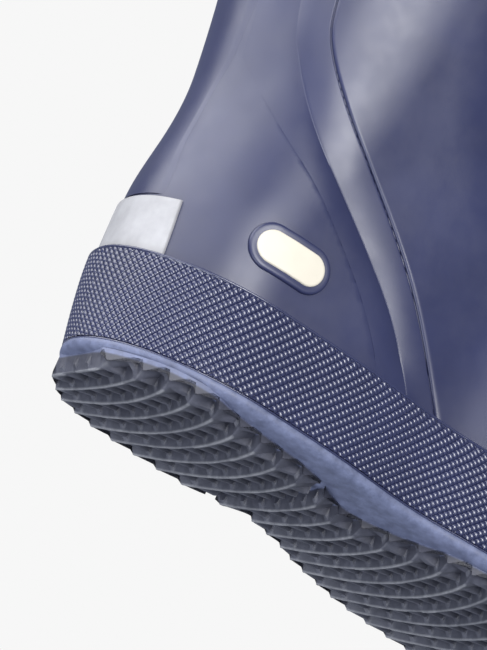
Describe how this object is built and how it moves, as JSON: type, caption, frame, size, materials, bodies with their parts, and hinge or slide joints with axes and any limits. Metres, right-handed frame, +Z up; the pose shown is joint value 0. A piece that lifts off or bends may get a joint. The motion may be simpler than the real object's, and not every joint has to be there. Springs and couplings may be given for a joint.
{
  "type": "deck boot",
  "caption": "Right-foot rubber deck boot with a knurled foxing band, lugged non-slip sole, lined leg, reflective heel tab and a plain badge.",
  "frame": {"origin": "on the ground under the middle of the boot's box, at the tips of the tread", "axes": "+X toward the toe, +Y toward the inner side of the right foot, +Z up the leg"},
  "size_m": [0.314, 0.1163, 0.2783],
  "materials": {
    "navy_rubber": "satin",
    "foxing_rubber": "knurled, semi-gloss",
    "tread_rubber": "matt",
    "binding_rubber": "satin",
    "reflective_film": "retroreflective, silver grey",
    "inlay_cream": "matt cream",
    "lining_cotton": "knitted cotton",
    "canvas": "woven cotton",
    "stiffener": "rough",
    "sole_foam": "cellular",
    "fibre_board": "fibre board",
    "footbed_felt": "felt"
  },
  "bodies": {
    "root": {"back_stay": "navy_rubber", "badge_inlay": "inlay_cream", "badge_plaque": "navy_rubber", "canvas_backing": "canvas", "footbed": "footbed_felt", "foxing_band": "foxing_rubber", "front_panel": "navy_rubber", "heel_counter": "stiffener", "heel_tab": "reflective_film", "inner_side_strip": "navy_rubber", "insole_board": "fibre_board", "lining": "lining_cotton", "midsole_filler": "sole_foam", "outer_side_strip": "navy_rubber", "outsole": "tread_rubber", "toe_guard": "navy_rubber", "toe_puff": "stiffener", "top_binding": "binding_rubber", "upper_shell": "navy_rubber"}
  },
  "joints": []
}
